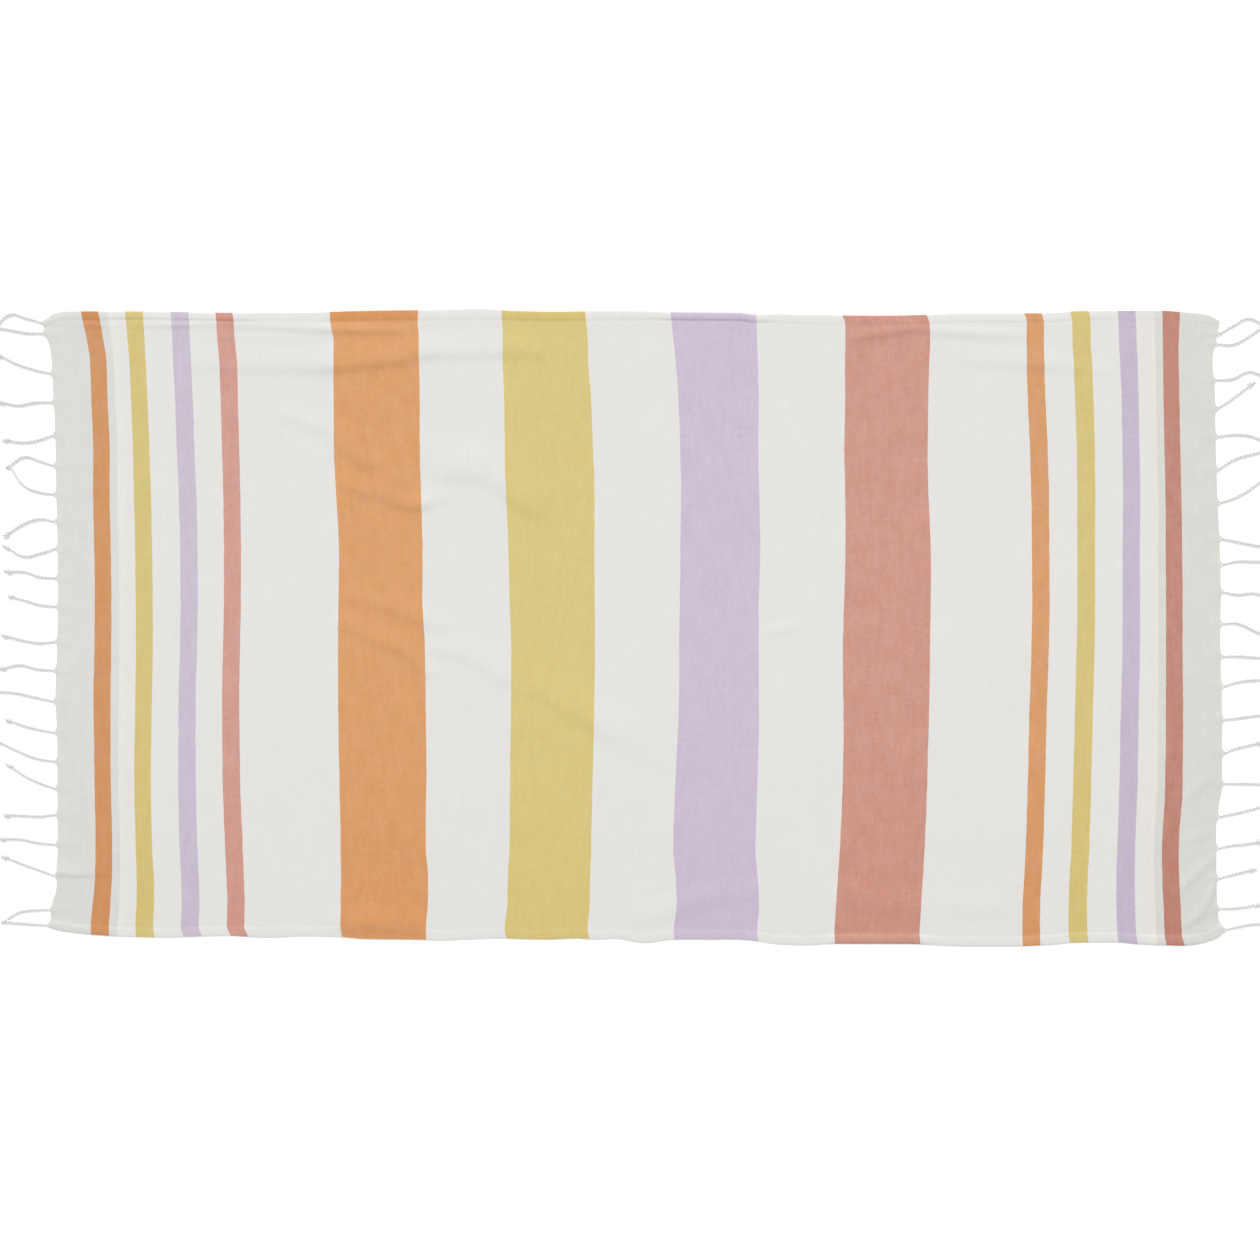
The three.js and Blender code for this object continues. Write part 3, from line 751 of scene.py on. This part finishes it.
def strand_stops(strands, side):
    """The points that each strand passes through."""
    lines = []
    for strand in strands:
        start = cloth_end(side, strand["root"])
        swings = [0, strand["third"], strand["two_thirds"], strand["end"]]
        stops = []
        for i, swing in enumerate(swings):
            out = PLY["starts"] + (strand["reach"] - PLY["starts"]) * i / 3
            high = STRAND_HALF if i else STRAND_HALF * PLY["at_root"]
            stops.append(Vector((start + side * out, strand["root"] + swing, high)))
        lines.append(stops)
    for tied, owner in TIED_TO[side].items():
        back = -side * TIED_TIP["back"]
        beside = TIED_TIP["beside"] if tied < owner else -TIED_TIP["beside"]
        lines[tied][-1] = lines[owner][-1] + Vector((back, beside, TIED_TIP["above"]))
    return lines


def make_strand(twist, stops):
    """One strand's twisted yarn, laid through its stops."""
    guide = smooth_line("guide", stops)
    guide.data.resolution_u = 12
    length = guide.data.splines[0].calc_length()
    lays = round(length / (PLY["lay"] * MM))
    yarn = copied(twist, "yarn")
    yarn.data.transform(Matrix.Scale(length / (lays * PLY["lay"] * MM), 4, (1, 0, 0)))
    repeat = yarn.modifiers.new("repeat", "ARRAY")
    repeat.count = lays
    repeat.use_merge_vertices = True
    repeat.merge_threshold = SEAM_GAP * MM
    repeat.use_relative_offset = False
    repeat.use_constant_offset = True
    repeat.constant_offset_displace = (length / lays, 0, 0)
    with_modifiers_applied(yarn)
    for vertex in yarn.data.vertices:
        full = smooth_step(0, PLY["thins_over"] * MM, vertex.co.x)
        share = PLY["at_root"] + (1 - PLY["at_root"]) * full
        vertex.co.y *= share
        vertex.co.z *= share
    follow = yarn.modifiers.new("follow", "CURVE")
    follow.object = guide
    open_ends_closed(with_modifiers_applied(yarn))
    removed(guide)
    return yarn


def place_root(root, side, start):
    """A strand's root, where it leaves the cloth's end."""
    gather = copied(root, "root")
    turn = Matrix.Rotation(0 if side > 0 else math.pi, 4, "Z")
    gather.data.transform(Matrix.Translation(start * MM) @ turn)
    return gather


def place_knot(knot, n, end, turn):
    """The n-th strand's knot at its end, resting on the floor."""
    tied = copied(knot, "knot")
    roll = Matrix.Rotation(n * KNOT["roll"], 4, "X")
    size = Matrix.Scale(varied(*KNOT["sizes"], n, 7, 5), 4)
    squat = Matrix.Scale(KNOT["squat"], 4, (0, 0, 1))
    half_high = (KNOT["around"] + KNOT["thick"]) * KNOT["squat"]
    centre = Vector((end.x, end.y, half_high)) * MM
    tied.data.transform(Matrix.Translation(centre) @ turn @ squat @ size @ roll)
    return tied


def place_tuft(tuft, n, end, away, turn):
    """The n-th strand's tuft, a short way past its knot. Every other one is a mirrored copy."""
    frayed = copied(tuft, "tuft")
    out = away.normalized() * TUFT["past_knot"]
    place = Vector((end.x + out.x, end.y + out.y, TUFT["high"])) * MM
    lean = Matrix.Rotation(TUFT["lean"] * math.sin(n * TUFT["lean_step"]), 4, "Z")
    size = Matrix.Scale(varied(*TUFT["sizes"], n, 3, 5), 4)
    flip = Matrix.Scale(-1 if n % 2 else 1, 4, (0, 1, 0))
    frayed.data.transform(Matrix.Translation(place) @ turn @ lean @ size @ flip)
    if n % 2:
        frayed.data.flip_normals()
    return frayed


def make_fringe(side, strands, models, name):
    """One end's strands, each with its root, its twist, and its knot and tuft."""
    twist, knot, tuft, root = models
    parts = []
    for n, (strand, stops) in enumerate(zip(strands, strand_stops(strands, side))):
        parts.append(make_strand(twist, stops))
        parts.append(place_root(root, side, stops[0]))
        if strand["knotted"]:
            end = stops[-1]
            away = end - stops[-2]
            turn = Matrix.Rotation(math.atan2(away.y, away.x), 4, "Z")
            parts.append(place_knot(knot, n, end, turn))
            parts.append(place_tuft(tuft, n, end, away, turn))
    fringe = joined(parts, name)
    for vertex in fringe.data.vertices:
        vertex.co.z = max(vertex.co.z, FLOOR_CLEAR * MM)
    bpy.ops.object.shade_smooth_by_angle(angle=YARN_SHARP)
    return fringe


# ------------------------------------------------------------------------------- the materials

# The colour is painted deeper towards the lower side, as shade where less light falls: from this far
# off it, and by so much at the side.
LOWER_SIDE_SHADE = {"from": 558, "deeper": 0.1153}
# Where across the cloth a hem's deeper dye starts and is full. The lower hem shows only a share of the
# upper one's depth, and is made paler.
HEM_DYE = {"lower": (19.5, 10.5), "upper": (WIDTH - 17.25, WIDTH - 11.25)}
LOWER_HEM = {"share": 0.6, "paler": 0.13}
COTTON = {"IOR": 1.53, "Specular IOR Level": 0.25, "Sheen Roughness": 0.5}

# A Mix node's settings for colours, and the numbers of its sockets then.
MIX_COLOUR = {"data_type": "RGBA", "clamp_factor": False}
MIX_SHARE, MIX_FROM, MIX_TO = 0, 6, 7
MIX_RESULT = 2


def linear(colour):
    """An sRGB hex colour as Blender's linear red, green, blue and alpha."""
    parts = [int(colour[i:i + 2], 16) / 255 for i in (1, 3, 5)]
    return (*[p / 12.92 if p <= 0.04045 else ((p + 0.055) / 1.055) ** 2.4 for p in parts], 1)


def add_node(tree, kind, sockets=None, **settings):
    """Adds a node with its settings. Each socket gets a value, or a link from another's output."""
    node = tree.nodes.new(kind)
    for name, value in settings.items():
        setattr(node, name, value)
    for name, value in (sockets or {}).items():
        if isinstance(value, bpy.types.NodeSocket):
            tree.links.new(value, node.inputs[name])
        else:
            node.inputs[name].default_value = value
    return node


def new_material(name):
    """A material with nothing in it yet."""
    material = bpy.data.materials.new(name)
    material.use_nodes = True
    material.node_tree.nodes.clear()
    return material


def finished(material, finish):
    """The material with its surface in this finish: a value or a pattern for each of its sockets."""
    tree = material.node_tree
    surface = add_node(tree, "ShaderNodeBsdfPrincipled", finish)
    add_node(tree, "ShaderNodeOutputMaterial", {"Surface": surface.outputs[0]})
    return material


def spots_of(tree, place, wide, tall, detail=2.0):
    """Soft spots of this size on the cloth, in millimetres along and across it, from -0.5 to 0.5."""
    sized = add_node(tree, "ShaderNodeMapping", {
        "Vector": place, "Scale": (1 / (wide * MM), 1 / (tall * MM), 1),
    })
    spots = add_node(tree, "ShaderNodeTexNoise", {
        "Vector": sized.outputs[0], "Scale": 1.0, "Detail": detail, "Roughness": 0.55,
    })
    centred = add_node(tree, "ShaderNodeMath", {0: spots.outputs[0], 1: 0.5}, operation="SUBTRACT")
    return centred.outputs[0]


def added_up(tree, total, *parts):
    """The total with each of these parts added, times its strength."""
    for part, strength in parts:
        total = add_node(tree, "ShaderNodeMath", {
            0: part, 1: strength, 2: total,
        }, operation="MULTIPLY_ADD").outputs[0]
    return total


def fibre_colour(tree, fibres, low, dark, high, pale):
    """The dark colour up to the low value of the fibres' pattern, and the pale one past the high."""
    share = add_node(tree, "ShaderNodeMapRange", {
        "Value": fibres, "From Min": low, "From Max": high,
    }).outputs[0]
    return add_node(tree, "ShaderNodeMix", {
        MIX_SHARE: share, MIX_FROM: linear(dark), MIX_TO: linear(pale),
    }, **MIX_COLOUR).outputs[MIX_RESULT]


def woven_stripes(tree, place):
    """The weft at a place along the cloth: its dye, how uneven it is, and its hem's added depth."""
    dye = linear(DYES["ground"])
    uneven = GROUND_UNEVEN
    deeper = 0.0
    for stripe in STRIPES:
        middle = (stripe["start"] + stripe["end"]) / 2
        within = add_node(tree, "ShaderNodeMath", {
            0: place, 1: middle, 2: stripe["end"] - middle,
        }, operation="COMPARE").outputs[0]
        dye = add_node(tree, "ShaderNodeMix", {
            MIX_SHARE: within, MIX_FROM: dye, MIX_TO: linear(DYES[stripe["dye"]]),
        }, **MIX_COLOUR).outputs[MIX_RESULT]
        uneven = added_up(tree, uneven, (within, stripe["uneven"] - GROUND_UNEVEN))
        if stripe["hem"]:
            deeper = added_up(tree, deeper, (within, stripe["hem"]))
    return dye, uneven, deeper


def depth_of_dye_and_shade(tree, across, hem_deeper):
    """How deep the dye looks: 1 as dyed, more on the two hems, and more towards the lower side as
    painted shade.
    """
    # Painted shade: the colour deepens towards the lower side, away from the light.
    shade_near_lower = add_node(tree, "ShaderNodeMapRange", {
        "Value": across, "From Min": LOWER_SIDE_SHADE["from"] / WIDTH, "From Max": 0.0,
    }).outputs[0]
    shade_near_lower = add_node(tree, "ShaderNodeMath", {0: shade_near_lower, 1: 2.0}, operation="POWER").outputs[0]
    # A hem's layers hide the light behind the cloth, so its dye looks deeper.
    hems = {}
    for hem, (starts, full) in HEM_DYE.items():
        hems[hem] = add_node(tree, "ShaderNodeMapRange", {
            "Value": across, "From Min": starts / WIDTH, "From Max": full / WIDTH,
        }, interpolation_type="SMOOTHSTEP").outputs[0]
    layered = added_up(tree, hems["upper"], (hems["lower"], LOWER_HEM["share"]))
    return added_up(
        tree, 1.0, (shade_near_lower, LOWER_SIDE_SHADE["deeper"]), (layered, hem_deeper),
        (hems["lower"], -LOWER_HEM["paler"]),
    )


def yarn_shade(tree, metres, slubs):
    """How much paler or darker the yarns are at a place, for their slubs, flecks and neps."""
    # The warp's slubs, then flecks and blotches where the yarns took up less or more dye.
    warp = spots_of(tree, metres, 24, 4)
    fleck = spots_of(tree, metres, 3.2, 6, 1.0)
    blotch = spots_of(tree, metres, 42, 52)
    # Neps are the tangled places in raw cotton's yarns, pale or dark: 1 mm specks, drawn as the
    # peaks of spots 3.6 by 6 mm.
    nep = spots_of(tree, metres, 3.6, 6)
    nep = add_node(tree, "ShaderNodeMath", {0: nep, 1: 3.0}, operation="POWER").outputs[0]
    return added_up(
        tree, 0.0, (slubs, 0.15), (warp, 0.08), (fleck, 0.06), (blotch, 0.08), (nep, 8.0),
    )


def woven_relief(tree, metres, slubs):
    """The relief of the woven threads, and of their slubs."""
    # The weave's own threads are 0.9 mm apart, too fine to show: the relief is drawn 2 mm apart,
    # as uneven threads both ways.
    weft = spots_of(tree, metres, 2, 9, 1.0)
    warp = spots_of(tree, metres, 9, 2, 1.0)
    return add_node(tree, "ShaderNodeBump", {
        "Strength": 1.0, "Distance": 0.16 * MM,
        "Height": added_up(tree, weft, (warp, 1.0), (slubs, 0.8)),
    }).outputs[0]


def striped_cotton():
    """Plain-woven cotton with dyed weft: matt, with slubby weft streaks and a few pale neps."""
    material = new_material("plain_woven_cotton")
    tree = material.node_tree
    weave = add_node(tree, "ShaderNodeUVMap", uv_map="UVMap").outputs[0]
    metres = add_node(tree, "ShaderNodeMapping", {
        "Vector": weave, "Scale": (LENGTH * MM, WIDTH * MM, 1),
    }).outputs[0]
    along, across = add_node(tree, "ShaderNodeSeparateXYZ", {"Vector": weave}).outputs[:2]

    # Weft yarns are beaten in unevenly, so a stripe's edge wanders by about half a millimetre.
    place = added_up(tree, 0.0, (along, LENGTH), (spots_of(tree, metres, 60, 22), 1.6))
    dye, uneven, hem_deeper = woven_stripes(tree, place)
    # Undyed fibre shows through the dyed weft here and there, and pales it towards the ground.
    worn = added_up(tree, 0.0, (spots_of(tree, metres, 18, 34, 3.0), 0.15))
    worn = added_up(tree, 0.0, (worn, uneven))
    dye = add_node(tree, "ShaderNodeMix", {
        MIX_SHARE: worn, MIX_FROM: dye, MIX_TO: linear(DYES["ground"]),
    }, **MIX_COLOUR).outputs[MIX_RESULT]
    # The dye deepens on the hems, and is painted deeper towards the lower side as shade.
    depth = depth_of_dye_and_shade(tree, across, hem_deeper)
    dye = add_node(tree, "ShaderNodeGamma", {"Color": dye, "Gamma": depth}).outputs[0]

    # Slubs are the thick places of yarns 0.5 mm thick, drawn as streaks 4 to 8 mm thick, so that
    # they show from afar.
    slubs = spots_of(tree, metres, 7.5, 44, 3.0)
    brightness = added_up(tree, 1.0, (yarn_shade(tree, metres, slubs), uneven))
    colour = add_node(tree, "ShaderNodeVectorMath", {
        "Vector": dye, "Scale": brightness,
    }, operation="SCALE").outputs[0]
    return finished(material, {
        **COTTON, "Base Color": colour, "Normal": woven_relief(tree, metres, slubs),
        "Roughness": 0.9, "Sheen Weight": 0.12,
    })


def twisted_cotton():
    """Two-ply cotton yarn, undyed and a little fuzzy: matt, with shade between its fibres."""
    material = new_material("twisted_cotton_yarn")
    tree = material.node_tree
    place = add_node(tree, "ShaderNodeTexCoord").outputs["Object"]
    # Single fibres are far too fine to show, so bundles of them are drawn, 1.1 mm thick.
    fibres = add_node(tree, "ShaderNodeTexNoise", {
        "Vector": place, "Scale": 1 / (1.1 * MM), "Detail": 2.0, "Roughness": 0.6,
    }).outputs[0]
    bump = add_node(tree, "ShaderNodeBump", {
        "Strength": 0.7, "Distance": 0.2 * MM, "Height": fibres,
    }).outputs[0]
    return finished(material, {
        **COTTON, "Base Color": fibre_colour(tree, fibres, 0.3, "#EAE9E7", 0.65, "#F7F7F5"),
        "Normal": bump, "Roughness": 0.95, "Sheen Weight": 0.15,
    })


def sewing_thread():
    """Spun sewing thread, smoother than the cloth, so each stitch catches a little light."""
    material = new_material("spun_sewing_thread")
    tree = material.node_tree
    place = add_node(tree, "ShaderNodeTexCoord").outputs["Object"]
    # About one shade a stitch, as each lies to the light its own way.
    fibres = add_node(tree, "ShaderNodeTexNoise", {
        "Vector": place, "Scale": 1 / (1.6 * MM), "Detail": 1.0,
    }).outputs[0]
    return finished(material, {
        "Base Color": fibre_colour(tree, fibres, 0.3, "#CFC9BE", 0.7, "#DDD9D0"),
        "Roughness": 0.6, "IOR": 1.5,
    })


def lit_white_board():
    """The floor: a matt white board lit a little from behind, so that it stays white in shade."""
    return finished(new_material("lit_white_board"), {
        "Base Color": linear("#F3F3F3"), "Roughness": 0.9,
        "Emission Color": linear("#FFFFFF"), "Emission Strength": 0.22,
    })


def dressed(piece, material, slot, *nodes):
    """The piece in its material, in the place of its CAD nodes."""
    piece.data.materials.clear()
    piece.data.materials.append(material)
    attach(piece, "root")
    if nodes:
        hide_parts(*nodes)


# ---------------------------------------------------------------------------------- the towel

cloth = make_cloth()
stitching = make_stitching()
models = [make_twist(), make_knot(), make_tuft(), make_root()]
fringe_left = make_fringe(-1, LEFT_STRANDS, models, "knotted_fringe_left")
fringe_right = make_fringe(1, RIGHT_STRANDS, models, "knotted_fringe_right")
removed(*models)

yarn = twisted_cotton()
dressed(cloth, striped_cotton(), "striped_cotton_cloth", "cloth")
dressed(stitching, sewing_thread(), "cotton_yarn")
dressed(fringe_left, yarn, "cotton_yarn", "fringe_left")
dressed(fringe_right, yarn, "cotton_yarn", "fringe_right")

# ------------------------------------------------------------------- the floor, light and camera

FLOOR_SIZE = 14  # metres, so that it reaches past the picture on every side
FLOOR_GAP = 0.3  # millimetres below the cloth
SUN_SHARE = 0.5  # of the light on the flat cloth, with the rest from all round
SUN_HEIGHT = math.radians(48)
SUN_TURN = math.radians(8)
SUN_SOFT = math.radians(24)
CAMERA_PLACE = (-0.0115, -0.0065, 4.284)  # metres: straight above, a little left of the middle

bpy.ops.object.select_all(action="DESELECT")
bpy.ops.mesh.primitive_plane_add(size=FLOOR_SIZE, location=(0, 0, -FLOOR_GAP * MM))
floor = named("floor")
floor.data.materials.append(lit_white_board())

bpy.ops.object.light_add(type="SUN", location=(0, 3, 4))
sun = named("window_light")
sun.rotation_euler = (-(math.pi / 2 - SUN_HEIGHT), 0, SUN_TURN)
sun.data.energy = SUN_SHARE * math.pi / math.sin(SUN_HEIGHT)
sun.data.angle = SUN_SOFT

world = bpy.data.worlds.new("white_room")
bpy.context.scene.world = world
world.use_nodes = True
background = world.node_tree.nodes["Background"]
background.inputs["Color"].default_value = linear("#FFFFFF")
background.inputs["Strength"].default_value = 1 - SUN_SHARE

bpy.ops.object.camera_add(location=CAMERA_PLACE, rotation=(0, 0, 0))
camera = named("camera")
camera.data.lens = 85
camera.data.sensor_width = 36
bpy.context.scene.camera = camera
bpy.context.scene.view_settings.view_transform = "Standard"
